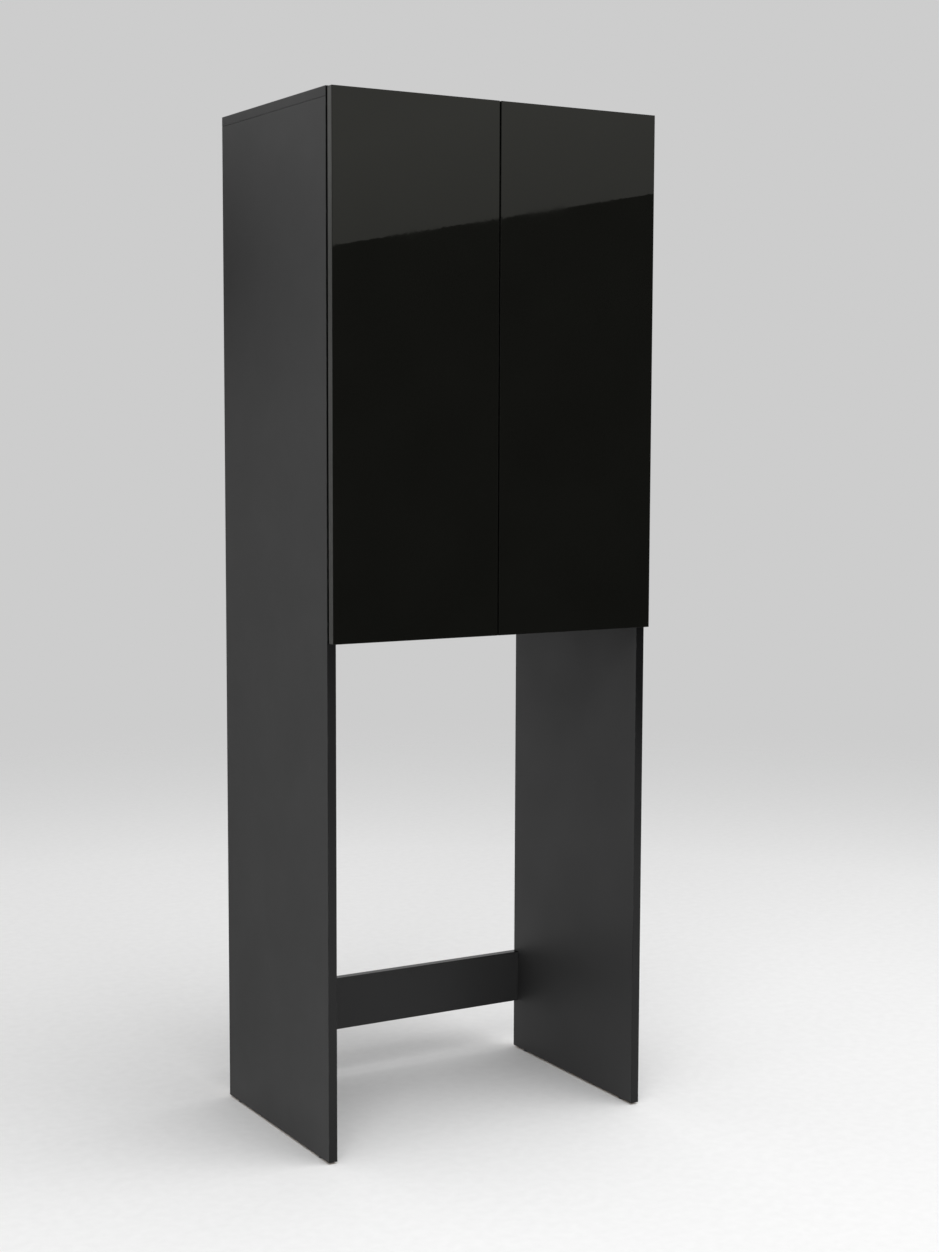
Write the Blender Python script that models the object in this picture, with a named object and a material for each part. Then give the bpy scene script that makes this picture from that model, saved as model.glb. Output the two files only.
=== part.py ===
"""Tall cabinet with a two-door cupboard above an open bay.

Front is -Y, up is +Z, and the origin is on the floor under the middle of the cabinet.
Lengths are in metres. Places inside the cabinet are counted inward from the outer face of a
side panel, and backward from the front edge of the carcass boards.
"""

import math

import bmesh
import bpy
from mathutils import Matrix, Vector

# Room left between two pieces that touch, and how far a cut runs past the face it starts from
seat_gap = 0.0003
cut_overrun = 0.001

# Points of a turned form closer than this are one point
merge_distance = 0.000003

# Carcass boards
cabinet_width = 0.640
cabinet_height = 1.800
carcass_depth = 0.416
board_thickness = 0.016
board_edge_round = 0.0003
cupboard_underside = 0.890
stretcher_bottom = 0.100
stretcher_height = 0.100

# Floor glides under the side panels
glide_height = 0.003
glide_radius = 0.007
glide_inset = 0.040
glide_edge = 0.0008

# Thin back panel, held in grooves
back_panel_thickness = 0.003
back_panel_inset = 0.012
groove_depth = 0.008

# Shelves and the pins that carry them
shelf_setback = 0.020
shelf_back_room = 0.001
shelf_side_room = 0.0006
shelf_pin_radius = 0.0023
shelf_pin_depth = 0.009
shelf_head_radius = 0.0035
shelf_head_length = 0.008
pin_edge = 0.0004
pin_row_inset = 0.055
pin_hole_pitch = 0.032
pin_hole_depth = 0.011
pin_holes_beside = 2

# Doors
door_thickness = 0.016
door_gap = 0.0022
door_side_inset = 0.0018
door_top_inset = 0.0014
door_floor_reveal = 0.002
door_middle_gap = 0.003
door_edge_round = 0.0006

# Door hinges: a cup let into the door, turning on one pin at the end of a cranked arm
hinge_end_distance = 0.100
hinge_axis_in = 0.009
hinge_axis_forward = 0.0122
hinge_pin_radius = 0.0009
hinge_pin_half = 0.0103
hinge_pin_edge = 0.0002
cup_radius = 0.0175
cup_wall = 0.001
cup_base = 0.0006
cup_lip = 0.0001
cup_depth = 0.013
cup_edge_distance = 0.003
flange_thickness = 0.0008
flange_width = 0.022
flange_height = 0.058
flange_corner = 0.006
flange_screw_spacing = 0.045
flange_screw_radius = 0.0022
arm_sheet = 0.0016
arm_eye_radius = 0.0019
arm_eye_half = 0.005
arm_half_width = 0.007
arm_bend = 0.004
arm_taper_start = 0.004
arm_taper_end = 0.0075
arm_leg_in = 0.0206
arm_channel_start = 0.006
arm_length = 0.054
arm_cheek_depth = 0.002
arm_slot_radius = 0.0026
arm_slot_length = 0.006
arm_slot_inset = 0.011
arm_screw_radius = 0.0024
arm_end_chamfer = 0.003
rib_start = 0.0040
rib_end = 0.0205
rib_half_width = 0.0022
rib_height = 0.0006
plate_thickness = 0.002
plate_front = 0.022
plate_back = 0.052
plate_half_width = 0.009
plate_corner = 0.003
wing_centre = 0.037
wing_half_depth = 0.008
wing_half_height = 0.024
wing_corner = 0.0065
wing_screw_spacing = 0.032
wing_screw_radius = 0.0024
boss_inset = 0.002

# Push latches that start the doors open
latch_offset = 0.034
latch_length = 0.060
latch_setback = 0.0017
latch_flange_width = 0.030
latch_flange_thickness = 0.002
latch_barrel_radius = 0.0058
latch_barrel_drop = 0.0075
latch_collar_radius = 0.0068
latch_collar_length = 0.004
latch_collar_setback = 0.001
latch_bore_depth = 0.050
latch_screw_radius = 0.0016
latch_screw_inset = 0.010
latch_screw_side = 0.0105
plunger_radius = 0.0036
plunger_length = 0.046
plunger_tip_radius = 0.0046
plunger_tip_length = 0.002
plunger_edge = 0.0003
strike_radius = 0.0075
strike_thickness = 0.001
strike_hole_radius = 0.0017
strike_sink_radius = 0.0032
strike_edge = 0.0003

# Cam locks that draw the boards together
cam_radius = 0.0072
cam_depth = 0.0122
cam_bore_depth = 0.0127
cam_edge_distance = 0.034
cam_inset = 0.050
cam_chamfer = 0.0004
cam_slot_width = 0.0016
cam_slot_length = 0.0105
cam_slot_depth = 0.0025

# Brackets that tie the top of the cabinet back to what it stands against
bracket_offset = 0.200
bracket_width = 0.020
bracket_leg = 0.032
bracket_sheet = 0.002
bracket_bend = 0.003
bracket_hole_radius = 0.0025
bracket_hole_from_end = 0.011
bracket_web_reach = 0.011
bracket_web_half_width = 0.002

# Sides of a round form
pin_sides = 10
cup_sides = 32
cam_sides = 20
arc_steps = 3

# Names of the two sides and the sign of X on each
sides = {"left": -1, "right": 1}

# Faces and edges worked out from the sizes above
carcass_front = (door_gap + door_thickness - carcass_depth) / 2
carcass_back = carcass_front + carcass_depth
half_width = cabinet_width / 2
inner_half_width = half_width - board_thickness
top_underside = cabinet_height - board_thickness
side_top = top_underside - seat_gap
cupboard_top_face = cupboard_underside + board_thickness
door_bottom = cupboard_underside + door_floor_reveal
door_top = cabinet_height - door_top_inset
door_back_face = carcass_front - door_gap
door_front_face = door_back_face - door_thickness
back_panel_front = carcass_back - back_panel_inset - back_panel_thickness
hinge_axis_y = carcass_front - hinge_axis_forward
hinge_heights = (door_bottom + hinge_end_distance, door_top - hinge_end_distance)
cup_centre_in = door_side_inset + cup_edge_distance + cup_radius
latch_axis_z = top_underside - seat_gap - latch_barrel_drop


def clear_scene():
    """Take away whatever the scene already holds."""
    for item in list(bpy.data.objects):
        bpy.data.objects.remove(item, do_unlink=True)


def make_material(name, colour, roughness, metallic):
    """A plain Principled material."""
    material = bpy.data.materials.new(name)
    material.use_nodes = True
    shader = material.node_tree.nodes["Principled BSDF"]
    shader.inputs["Base Color"].default_value = (*colour, 1.0)
    shader.inputs["Roughness"].default_value = roughness
    shader.inputs["Metallic"].default_value = metallic
    material.diffuse_color = (*colour, 1.0)
    return material


def world_x(sign, inward):
    """X of a place that lies `inward` from the outer face of the side panel on this side."""
    return sign * (half_width - inward)


def world_y(backward):
    """Y of a place that lies `backward` from the front edge of the carcass boards."""
    return carcass_front + backward


def add_box(mesh, low, high):
    """Add a closed box between two corners given in any order."""
    low, high = Vector(low), Vector(high)
    made = bmesh.ops.create_cube(mesh, size=1.0)
    middle, extent = (low + high) / 2, high - low
    scale = Matrix.Diagonal((abs(extent.x), abs(extent.y), abs(extent.z), 1.0))
    bmesh.ops.transform(mesh, matrix=Matrix.Translation(middle) @ scale, verts=made["verts"])


def add_cylinder(mesh, start, end, radius, segments):
    """Add a closed cylinder along the line from start to end."""
    start, end = Vector(start), Vector(end)
    along = end - start
    turn = along.to_track_quat("Z", "Y").to_matrix().to_4x4()
    bmesh.ops.create_cone(
        mesh, cap_ends=True, segments=segments, radius1=radius, radius2=radius,
        depth=along.length, matrix=Matrix.Translation((start + end) / 2) @ turn)


def add_prism(mesh, outline, start, end):
    """Add a closed prism: the outline's points run from `start` by the vector `end - start`."""
    start, end = Vector(start), Vector(end)
    first = [mesh.verts.new(start + Vector(point)) for point in outline]
    face = mesh.faces.new(first)
    grown = bmesh.ops.extrude_face_region(mesh, geom=[face])
    moved = [item for item in grown["geom"] if isinstance(item, bmesh.types.BMVert)]
    bmesh.ops.translate(mesh, verts=moved, vec=end - start)


def add_turned(mesh, profile, segments):
    """Add a closed body turned round the Z axis from (radius, height) points."""
    points = [mesh.verts.new((radius, 0, height)) for radius, height in profile]
    edges = [mesh.edges.new(pair) for pair in zip(points, points[1:])]
    if profile[0][0] > 0:
        edges.append(mesh.edges.new((points[-1], points[0])))
    bmesh.ops.spin(
        mesh, geom=points + edges, cent=(0, 0, 0), axis=(0, 0, 1), angle=math.tau,
        steps=segments, use_merge=True)
    bmesh.ops.remove_doubles(mesh, verts=mesh.verts, dist=merge_distance)


def arc(centre, radius, start, end, steps):
    """Points on an arc, as (a, b) pairs; angles in degrees."""
    angles = [math.radians(start + (end - start) * step / steps) for step in range(steps + 1)]
    return [(centre[0] + radius * math.cos(a), centre[1] + radius * math.sin(a)) for a in angles]


def rounded_rectangle(low, high, radius):
    """Outline of a rectangle with round corners, as (a, b) pairs."""
    corners = (
        ((high[0] - radius, high[1] - radius), 0),
        ((low[0] + radius, high[1] - radius), 90),
        ((low[0] + radius, low[1] + radius), 180),
        ((high[0] - radius, low[1] + radius), 270))
    points = []
    for centre, start in corners:
        points += arc(centre, radius, start, start + 90, arc_steps)
    return points


def slot_outline(start, end, radius):
    """Outline of a round-ended slot between two centres on the first axis, as (a, b) pairs."""
    return (arc((end, 0), radius, -90, 90, 2 * arc_steps)
            + arc((start, 0), radius, 90, 270, 2 * arc_steps))


def finish_mesh(mesh, name):
    """Turn the faces outward and hand the mesh over to Blender's data."""
    bmesh.ops.recalc_face_normals(mesh, faces=mesh.faces)
    data = bpy.data.meshes.new(name)
    mesh.to_mesh(data)
    mesh.free()
    return data


def place(name, data, material, location=(0, 0, 0), parent=None):
    """Make a named object at a world location, held by the parent if there is one."""
    item = bpy.data.objects.new(name, data)
    bpy.context.collection.objects.link(item)
    if not data.materials:
        data.materials.append(material)
    item.location = Vector(location)
    if parent:
        item.parent = parent
        item.location = Vector(location) - parent.location
    return item


def smooth(item):
    """Shade round faces smooth and keep the edges sharp."""
    item.data.shade_smooth()
    item.data.set_sharp_from_angle(angle=math.radians(35))


def round_edges(item, width, segments=1):
    """Bevel every sharp edge."""
    bevel = item.modifiers.new("Round edges", "BEVEL")
    bevel.width = width
    bevel.segments = segments
    bevel.limit_method = "ANGLE"
    bevel.angle_limit = math.radians(40)


def boolean(item, mesh, operation="DIFFERENCE"):
    """Cut or join with a tool built in world places; the tool is hidden and rides on the item."""
    lie = item.parent.matrix_basis @ item.matrix_basis if item.parent else item.matrix_basis
    bmesh.ops.transform(mesh, matrix=lie.inverted(), verts=mesh.verts)
    tool = bpy.data.objects.new(item.name + "_tool", finish_mesh(mesh, item.name + "_tool"))
    bpy.context.collection.objects.link(tool)
    tool.parent = item
    tool.hide_render = True
    tool.display_type = "WIRE"
    change = item.modifiers.new(operation.title(), "BOOLEAN")
    change.operation = operation
    change.solver = "EXACT"
    change.object = tool


def make_board(name, low, high, material, parent=None, edge=board_edge_round):
    """A flat board between two corners, its origin at the parent's origin or its own middle."""
    middle = (Vector(low) + Vector(high)) / 2
    origin = parent.location if parent else middle
    mesh = bmesh.new()
    add_box(mesh, Vector(low) - origin, Vector(high) - origin)
    item = place(name, finish_mesh(mesh, name), material, origin, parent)
    round_edges(item, edge)
    return item


def shelf_levels():
    """Undersides of the two shelves, which part the cupboard into three equal heights."""
    room = (top_underside - cupboard_top_face - 2 * board_thickness) / 3
    first = cupboard_top_face + room
    return {"lower": first, "upper": first + board_thickness + room}


def pin_height(underside):
    """Height of the axis of the pins below a shelf."""
    return underside - seat_gap - shelf_head_radius


def cam_places():
    """Each cam lock: the board it sits in, its face centre and the way its bore goes in."""
    front, back = world_y(cam_inset), carcass_back - cam_inset
    for side, sign in sides.items():
        inner_face = sign * inner_half_width
        for end, depth in (("front", front), ("back", back)):
            top = Vector((inner_face, depth, side_top - cam_edge_distance))
            yield f"cam_top_{side}_{end}", f"side_panel_{side}", top, Vector((sign, 0, 0))
            floor_x = sign * (inner_half_width - cam_edge_distance)
            low = Vector((floor_x, depth, cupboard_underside))
            yield f"cam_floor_{side}_{end}", "cupboard_floor", low, Vector((0, 0, 1))
        rail_z = stretcher_bottom + stretcher_height / 2
        rail = Vector((sign * (inner_half_width - cam_edge_distance), carcass_back, rail_z))
        yield f"cam_stretcher_{side}", "rear_stretcher", rail, Vector((0, -1, 0))


def cut_cam_bores(mesh, board_name):
    """Add the bores of the cam locks that sit in one board to a cutting tool."""
    for name, board_of_cam, face, inward in cam_places():
        if board_of_cam == board_name:
            add_cylinder(mesh, face - inward * cut_overrun, face + inward * cam_bore_depth,
                         cam_radius + seat_gap, cam_sides)


def cut_pin_holes(mesh, sign):
    """Add the rows of shelf pin holes of one side panel to a cutting tool."""
    inner_face = sign * inner_half_width
    for underside in shelf_levels().values():
        for step in range(-pin_holes_beside, pin_holes_beside + 1):
            height = pin_height(underside) + step * pin_hole_pitch
            for depth in (world_y(pin_row_inset), carcass_back - pin_row_inset):
                start = Vector((inner_face - sign * cut_overrun, depth, height))
                end = Vector((inner_face + sign * pin_hole_depth, depth, height))
                add_cylinder(mesh, start, end, shelf_pin_radius + seat_gap, pin_sides)


def make_side_panels(material):
    """Full-height side boards with a groove for the back panel, pin holes and cam bores."""
    groove_low = cupboard_top_face - groove_depth
    for side, sign in sides.items():
        inner, outer = sign * inner_half_width, sign * half_width
        item = make_board(
            f"side_panel_{side}", (inner, carcass_front, glide_height + seat_gap),
            (outer, carcass_back, side_top), material)
        tool = bmesh.new()
        add_box(tool, (inner - sign * cut_overrun, back_panel_front - seat_gap, groove_low),
                (inner + sign * groove_depth, back_panel_front + back_panel_thickness + seat_gap,
                 side_top + cut_overrun))
        cut_pin_holes(tool, sign)
        cut_cam_bores(tool, item.name)
        boolean(item, tool)


def make_top_panel(material):
    """Top board, lying over the side boards, grooved below for the back panel."""
    item = make_board("top_panel", (-half_width, carcass_front, top_underside),
                      (half_width, carcass_back, cabinet_height), material)
    reach = inner_half_width + groove_depth
    tool = bmesh.new()
    add_box(tool, (-reach, back_panel_front - seat_gap, top_underside - cut_overrun),
            (reach, back_panel_front + back_panel_thickness + seat_gap,
             top_underside + groove_depth))
    boolean(item, tool)


def make_cupboard_floor(material):
    """Floor of the cupboard, between the side boards, above the open bay."""
    reach = inner_half_width - seat_gap
    item = make_board("cupboard_floor", (-reach, carcass_front, cupboard_underside),
                      (reach, carcass_back, cupboard_top_face), material)
    tool = bmesh.new()
    add_box(tool, (-half_width, back_panel_front - seat_gap, cupboard_top_face - groove_depth),
            (half_width, back_panel_front + back_panel_thickness + seat_gap,
             cupboard_top_face + cut_overrun))
    cut_cam_bores(tool, item.name)
    boolean(item, tool)


def make_rear_stretcher(material):
    """Low rail at the back of the bay, which keeps the side boards square."""
    reach = inner_half_width - seat_gap
    item = make_board("rear_stretcher", (-reach, carcass_back - board_thickness, stretcher_bottom),
                      (reach, carcass_back, stretcher_bottom + stretcher_height), material)
    tool = bmesh.new()
    cut_cam_bores(tool, item.name)
    boolean(item, tool)


def make_back_panel(material):
    """Thin sheet behind the cupboard only; the bay stays open at the back."""
    reach = inner_half_width + groove_depth - seat_gap
    low = cupboard_top_face - groove_depth + seat_gap
    high = top_underside + groove_depth - seat_gap
    mesh = bmesh.new()
    add_box(mesh, (-reach, back_panel_front, low),
            (reach, back_panel_front + back_panel_thickness, high))
    place("back_panel", finish_mesh(mesh, "back_panel"), material)


def make_shelves(material):
    """Two loose shelves that rest on pins."""
    reach = inner_half_width - shelf_side_room
    for level, underside in shelf_levels().items():
        make_board(f"shelf_{level}", (-reach, world_y(shelf_setback), underside),
                   (reach, back_panel_front - shelf_back_room, underside + board_thickness),
                   material)


def make_shelf_pins(material):
    """Turned pins, four under each shelf, all sharing one mesh."""
    profile = (
        (0, -shelf_pin_depth),
        (shelf_pin_radius - pin_edge, -shelf_pin_depth),
        (shelf_pin_radius, -shelf_pin_depth + pin_edge),
        (shelf_pin_radius, seat_gap),
        (shelf_head_radius, seat_gap),
        (shelf_head_radius, shelf_head_length - pin_edge),
        (shelf_head_radius - pin_edge, shelf_head_length),
        (0, shelf_head_length))
    mesh = bmesh.new()
    add_turned(mesh, profile, pin_sides)
    data = finish_mesh(mesh, "shelf_pin")
    for level, underside in shelf_levels().items():
        for side, sign in sides.items():
            for end, depth in (("front", world_y(pin_row_inset)),
                               ("back", carcass_back - pin_row_inset)):
                spot = (sign * inner_half_width, depth, pin_height(underside))
                item = place(f"shelf_pin_{level}_{side}_{end}", data, material, spot)
                item.rotation_euler = (0, -sign * math.pi / 2, 0)
                smooth(item)


def make_glides(material):
    """Round plastic glides pressed under the side panels."""
    profile = (
        (0, 0), (glide_radius - glide_edge, 0), (glide_radius, glide_edge),
        (glide_radius, glide_height), (0, glide_height))
    mesh = bmesh.new()
    add_turned(mesh, profile, cam_sides)
    data = finish_mesh(mesh, "glide")
    for side, sign in sides.items():
        for end, depth in (("front", world_y(glide_inset)), ("back", carcass_back - glide_inset)):
            spot = (sign * (half_width - board_thickness / 2), depth, 0)
            smooth(place(f"glide_{side}_{end}", data, material, spot))


def make_cams(material):
    """Cam locks: chamfered discs with a cross slot, sunk in their bores."""
    profile = (
        (0, 0), (cam_radius - cam_chamfer, 0), (cam_radius, cam_chamfer),
        (cam_radius, cam_depth), (0, cam_depth))
    mesh = bmesh.new()
    add_turned(mesh, profile, cam_sides)
    data = finish_mesh(mesh, "cam")
    reach, slot = cam_slot_length / 2, cam_slot_width / 2
    for name, board_of_cam, face, inward in cam_places():
        item = place(name, data, material, face + inward * seat_gap)
        item.rotation_mode = "QUATERNION"
        item.rotation_quaternion = inward.to_track_quat("Z", "Y")
        for half_x, half_y in ((reach, slot), (slot, reach)):
            tool = bmesh.new()
            add_box(tool, (-half_x, -half_y, -cut_overrun), (half_x, half_y, cam_slot_depth))
            bmesh.ops.transform(tool, matrix=item.matrix_basis, verts=tool.verts)
            boolean(item, tool)


def make_door_axis(side, sign):
    """Empty on the axis that a door turns about."""
    axis = bpy.data.objects.new(f"door_{side}_axis", None)
    bpy.context.collection.objects.link(axis)
    axis.location = (world_x(sign, hinge_axis_in), hinge_axis_y, door_bottom)
    return axis


def make_door(side, sign, axis, material):
    """Plain slab door with two cup bores in its back."""
    item = make_board(
        f"door_{side}", (world_x(sign, door_side_inset), door_front_face, door_bottom),
        (sign * door_middle_gap / 2, door_back_face, door_top), material, axis, door_edge_round)
    item.modifiers["Round edges"].segments = 2
    tool = bmesh.new()
    for height in hinge_heights:
        start = Vector((world_x(sign, cup_centre_in), door_back_face + cut_overrun, height))
        end = start - Vector((0, cut_overrun + cup_depth + seat_gap, 0))
        add_cylinder(tool, start, end, cup_radius + seat_gap, cup_sides)
    boolean(item, tool)


def make_cup(name, sign, height, axis, material):
    """Hinge cup: a drawn steel pot with a screwed flange, bored for its pin."""
    centre_x = world_x(sign, cup_centre_in)
    face = door_back_face + seat_gap
    bottom = door_back_face - cup_depth
    inner_radius = cup_radius - cup_wall
    pot = ((0, bottom), (cup_radius, bottom), (cup_radius, face + flange_thickness / 2),
           (inner_radius, face + flange_thickness / 2), (inner_radius, bottom + cup_base),
           (0, bottom + cup_base))
    mesh = bmesh.new()
    add_turned(mesh, [(radius, level - bottom) for radius, level in pot], cup_sides)
    turn = Matrix.Rotation(-math.pi / 2, 4, "X")
    shift = Matrix.Translation((centre_x, bottom, height))
    bmesh.ops.transform(mesh, matrix=Matrix.Translation(-axis.location) @ shift @ turn,
                        verts=mesh.verts)
    item = place(name, finish_mesh(mesh, name), material, axis.location, axis)
    smooth(item)
    flange = bmesh.new()
    outline = rounded_rectangle((-flange_width / 2, -flange_height / 2),
                                (flange_width / 2, flange_height / 2), flange_corner)
    add_prism(flange, [(a, 0, b) for a, b in outline], (centre_x, face, height),
              (centre_x, face + flange_thickness, height))
    boolean(item, flange, "UNION")
    opening = bmesh.new()
    add_cylinder(opening, (centre_x, bottom + cup_base, height),
                 (centre_x, face + flange_thickness + cut_overrun, height),
                 inner_radius - cup_lip, cup_sides)
    for step in (-1, 1):
        spot = Vector((centre_x, face, height + step * flange_screw_spacing / 2))
        along = Vector((0, cut_overrun, 0))
        add_cylinder(opening, spot - along, spot + 2 * along, flange_screw_radius, pin_sides)
    boolean(item, opening)
    bore = bmesh.new()
    pin_x, reach = world_x(sign, hinge_axis_in), Vector((0, 0, cup_radius))
    spot = Vector((pin_x, hinge_axis_y, height))
    add_cylinder(bore, spot - reach, spot + reach, hinge_pin_radius + seat_gap, pin_sides)
    boolean(item, bore)


def make_hinge_pin(name, axis, height, data, material):
    """Pin that joins the arm to the cup."""
    spot = Vector((axis.location.x, axis.location.y, height))
    smooth(place(name, data, material, spot, axis))


def hinge_pin_mesh():
    """A short pin with chamfered ends, along Z."""
    profile = (
        (0, -hinge_pin_half), (hinge_pin_radius - hinge_pin_edge, -hinge_pin_half),
        (hinge_pin_radius, hinge_pin_edge - hinge_pin_half),
        (hinge_pin_radius, hinge_pin_half - hinge_pin_edge),
        (hinge_pin_radius - hinge_pin_edge, hinge_pin_half), (0, hinge_pin_half))
    mesh = bmesh.new()
    add_turned(mesh, profile, pin_sides)
    return finish_mesh(mesh, "hinge_pin")


def arm_outline():
    """Side view of the arm, as (inward, backward) pairs, from the eye to the channel's end."""
    eye = (hinge_axis_in, -hinge_axis_forward)
    low = -hinge_axis_forward - arm_eye_radius
    high = low + arm_sheet
    leg_outer = arm_leg_in + arm_sheet
    inner_bend = arm_bend - arm_sheet
    meet = math.degrees(math.asin((high + hinge_axis_forward) / arm_eye_radius))
    cheek = arm_leg_in - arm_cheek_depth
    points = [(hinge_axis_in, low)]
    points += arc((leg_outer - arm_bend, low + arm_bend), arm_bend, -90, 0, arc_steps)
    points += [(leg_outer, arm_length), (cheek, arm_length), (cheek, arm_channel_start)]
    points += [(arm_leg_in, arm_channel_start - arm_cheek_depth)]
    points += arc((arm_leg_in - inner_bend, high + inner_bend), inner_bend, 0, -90, arc_steps)
    points += arc(eye, arm_eye_radius, meet, 270, 2 * arc_steps)[:-1]
    return points


def make_arm(name, sign, height, material):
    """Cranked arm: an eye on the hinge pin, a bend round the cup's rim and a channel behind."""
    mesh = bmesh.new()
    outline = [(world_x(sign, a), world_y(b), 0) for a, b in arm_outline()]
    add_prism(mesh, outline, (0, 0, height - arm_half_width), (0, 0, height + arm_half_width))
    item = place(name, finish_mesh(mesh, name), material)
    tool = bmesh.new()
    groove = arm_half_width - arm_sheet
    add_box(tool, (world_x(sign, arm_leg_in - arm_cheek_depth - cut_overrun),
                   world_y(arm_channel_start - arm_cheek_depth - cut_overrun), height - groove),
            (world_x(sign, arm_leg_in), world_y(arm_length + cut_overrun), height + groove))
    boolean(item, tool)
    trim = bmesh.new()
    for step in (-1, 1):
        below = world_y(-hinge_axis_forward - arm_eye_radius - cut_overrun)
        above = world_y(-hinge_axis_forward + arm_eye_radius + cut_overrun)
        eye_z, full_z = step * arm_eye_half, step * (arm_half_width + cut_overrun)
        corners = ((hinge_axis_in - arm_eye_radius - cut_overrun, eye_z),
                   (hinge_axis_in + arm_taper_start, eye_z),
                   (hinge_axis_in + arm_taper_end, full_z),
                   (hinge_axis_in - arm_eye_radius - cut_overrun, full_z))
        shape = [(world_x(sign, a), 0, b) for a, b in corners]
        add_prism(trim, shape, (0, below, height), (0, above, height))
    boolean(item, trim)
    near, far = arm_leg_in - cut_overrun, arm_leg_in + arm_sheet + cut_overrun
    chamfers = bmesh.new()
    for step in (-1, 1):
        beyond = arm_length + cut_overrun, arm_half_width + cut_overrun
        corners = (beyond, (beyond[0], arm_half_width - arm_end_chamfer - cut_overrun),
                   (arm_length - arm_end_chamfer - cut_overrun, beyond[1]))
        shape = [(0, world_y(a), step * b) for a, b in corners]
        add_prism(chamfers, shape, (world_x(sign, near - arm_cheek_depth), 0, height),
                  (world_x(sign, far), 0, height))
    boolean(item, chamfers)
    rib = bmesh.new()
    shape = slot_outline(rib_start + rib_half_width, rib_end - rib_half_width, rib_half_width)
    add_prism(rib, [(0, world_y(a), b) for a, b in shape],
              (world_x(sign, arm_leg_in + arm_sheet / 2), 0, height),
              (world_x(sign, arm_leg_in + arm_sheet + rib_height), 0, height))
    boolean(item, rib, "UNION")
    holes = bmesh.new()
    eye = Vector((world_x(sign, hinge_axis_in), hinge_axis_y, height))
    reach = Vector((0, 0, arm_half_width))
    add_cylinder(holes, eye - reach, eye + reach, hinge_pin_radius + seat_gap, pin_sides)
    slot_end = arm_length - arm_slot_inset
    slot = slot_outline(slot_end + arm_slot_radius - arm_slot_length, slot_end, arm_slot_radius)
    add_prism(holes, [(0, world_y(a), b) for a, b in slot],
              (world_x(sign, near), 0, height), (world_x(sign, far), 0, height))
    screw_y = world_y(plate_front + boss_inset + arm_slot_radius)
    add_cylinder(holes, (world_x(sign, near), screw_y, height),
                 (world_x(sign, far), screw_y, height), arm_screw_radius, pin_sides)
    boolean(item, holes)


def make_plate(name, sign, height, material):
    """Mounting plate: wings screwed to the side panel and a boss that the arm slides over."""
    near = board_thickness + seat_gap
    far = near + plate_thickness
    middle = rounded_rectangle((plate_front, -plate_half_width), (plate_back, plate_half_width),
                               plate_corner)
    mesh = bmesh.new()
    add_prism(mesh, [(0, world_y(a), b) for a, b in middle],
              (world_x(sign, near), 0, height), (world_x(sign, far), 0, height))
    item = place(name, finish_mesh(mesh, name), material)
    wings = bmesh.new()
    shape = rounded_rectangle((wing_centre - wing_half_depth, -wing_half_height),
                              (wing_centre + wing_half_depth, wing_half_height),
                              wing_corner)
    add_prism(wings, [(0, world_y(a), b) for a, b in shape],
              (world_x(sign, near), 0, height), (world_x(sign, far), 0, height))
    boolean(item, wings, "UNION")
    boss = bmesh.new()
    boss_half = arm_half_width - arm_sheet - seat_gap
    add_box(boss, (world_x(sign, far - plate_thickness / 2), world_y(plate_front + boss_inset),
                   height - boss_half),
            (world_x(sign, arm_leg_in - seat_gap), world_y(plate_back - boss_inset),
             height + boss_half))
    boolean(item, boss, "UNION")
    holes = bmesh.new()
    for step in (-1, 1):
        spot_z = height + step * wing_screw_spacing / 2
        add_cylinder(holes, (world_x(sign, near - cut_overrun), world_y(wing_centre), spot_z),
                     (world_x(sign, far + cut_overrun), world_y(wing_centre), spot_z),
                     wing_screw_radius, pin_sides)
    boolean(item, holes)


def make_hinges(side, sign, axis, steel):
    """Two hinges for one door, low and high."""
    pin = hinge_pin_mesh()
    for level, height in zip(("lower", "upper"), hinge_heights):
        label = f"{side}_{level}"
        make_cup(f"hinge_cup_{label}", sign, height, axis, steel)
        make_hinge_pin(f"hinge_pin_{label}", axis, height, pin, steel)
        make_arm(f"hinge_arm_{label}", sign, height, steel)
        make_plate(f"hinge_plate_{label}", sign, height, steel)


def latch_outline():
    """Front view of a latch housing, as (across, up) pairs from the plunger's axis."""
    top = latch_barrel_drop
    under = latch_barrel_drop - latch_flange_thickness
    half = latch_flange_width / 2
    points = [(half, top), (-half, top), (-half, under), (-latch_barrel_radius, under)]
    points += arc((0, 0), latch_barrel_radius, 180, 360, 2 * arc_steps)
    points += [(latch_barrel_radius, under), (half, under)]
    return points


def make_latch(side, sign, plastic):
    """Latch housing under the top panel, with a blind bore for its plunger."""
    centre_x = sign * latch_offset
    front = world_y(latch_setback)
    mesh = bmesh.new()
    outline = [(a, 0, b) for a, b in latch_outline()]
    add_prism(mesh, outline, (centre_x, front, latch_axis_z),
              (centre_x, front + latch_length, latch_axis_z))
    item = place(f"latch_housing_{side}", finish_mesh(mesh, f"latch_housing_{side}"), plastic)
    collar = bmesh.new()
    collar_front = front + latch_collar_setback
    add_cylinder(collar, (centre_x, collar_front, latch_axis_z),
                 (centre_x, collar_front + latch_collar_length, latch_axis_z),
                 latch_collar_radius, cam_sides)
    boolean(item, collar, "UNION")
    tool = bmesh.new()
    add_cylinder(tool, (centre_x, front - cut_overrun, latch_axis_z),
                 (centre_x, front + latch_bore_depth, latch_axis_z),
                 plunger_radius + seat_gap, cam_sides)
    under = latch_axis_z + latch_barrel_drop - latch_flange_thickness - cut_overrun
    over = latch_axis_z + latch_barrel_drop + cut_overrun
    for across in (-1, 1):
        for depth in (front + latch_screw_inset, front + latch_length - latch_screw_inset):
            spot_x = centre_x + across * latch_screw_side
            add_cylinder(tool, (spot_x, depth, under), (spot_x, depth, over),
                         latch_screw_radius, pin_sides)
    boolean(item, tool)


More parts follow.
